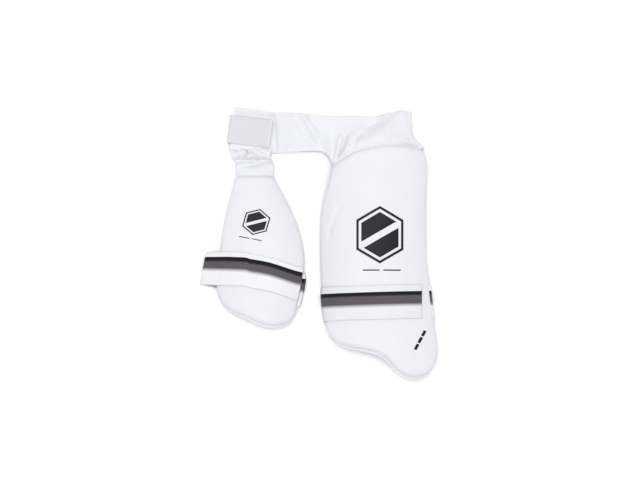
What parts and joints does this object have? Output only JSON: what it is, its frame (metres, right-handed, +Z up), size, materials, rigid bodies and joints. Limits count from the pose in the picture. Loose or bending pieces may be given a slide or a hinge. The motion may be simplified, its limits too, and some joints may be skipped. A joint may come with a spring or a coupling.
{
  "type": "cricket thigh guard",
  "caption": "Cricket thigh guard lying flat: an outer and an inner arched foam pad, each with an elastic leg strap, on a stretch waist belt closed by a hook-and-loop tab.",
  "frame": {"origin": "On the floor, under the middle of the whole guard as it lies", "axes": "+X from the inner pad to the outer pad, +Y up the leg to the waist belt, +Z up from the floor out of the padded fronts"},
  "size_m": [0.3478, 0.3942, 0.0507],
  "materials": {
    "pad_cover": "smooth stretch cover over foam",
    "backing_cloth": "brushed lining cloth",
    "belt_cloth": "soft stretch knit",
    "tab_cloth": "hook-and-loop tape",
    "elastic": "woven elastic with a black line and a grey band"
  },
  "bodies": {
    "root": {"outer_pad": "pad_cover", "inner_pad": "pad_cover", "outer_backing": "backing_cloth", "inner_backing": "backing_cloth", "waist_belt": "belt_cloth", "inner_hanger": "belt_cloth", "belt_tab": "tab_cloth", "outer_strap": "elastic", "inner_strap": "elastic"}
  },
  "joints": []
}
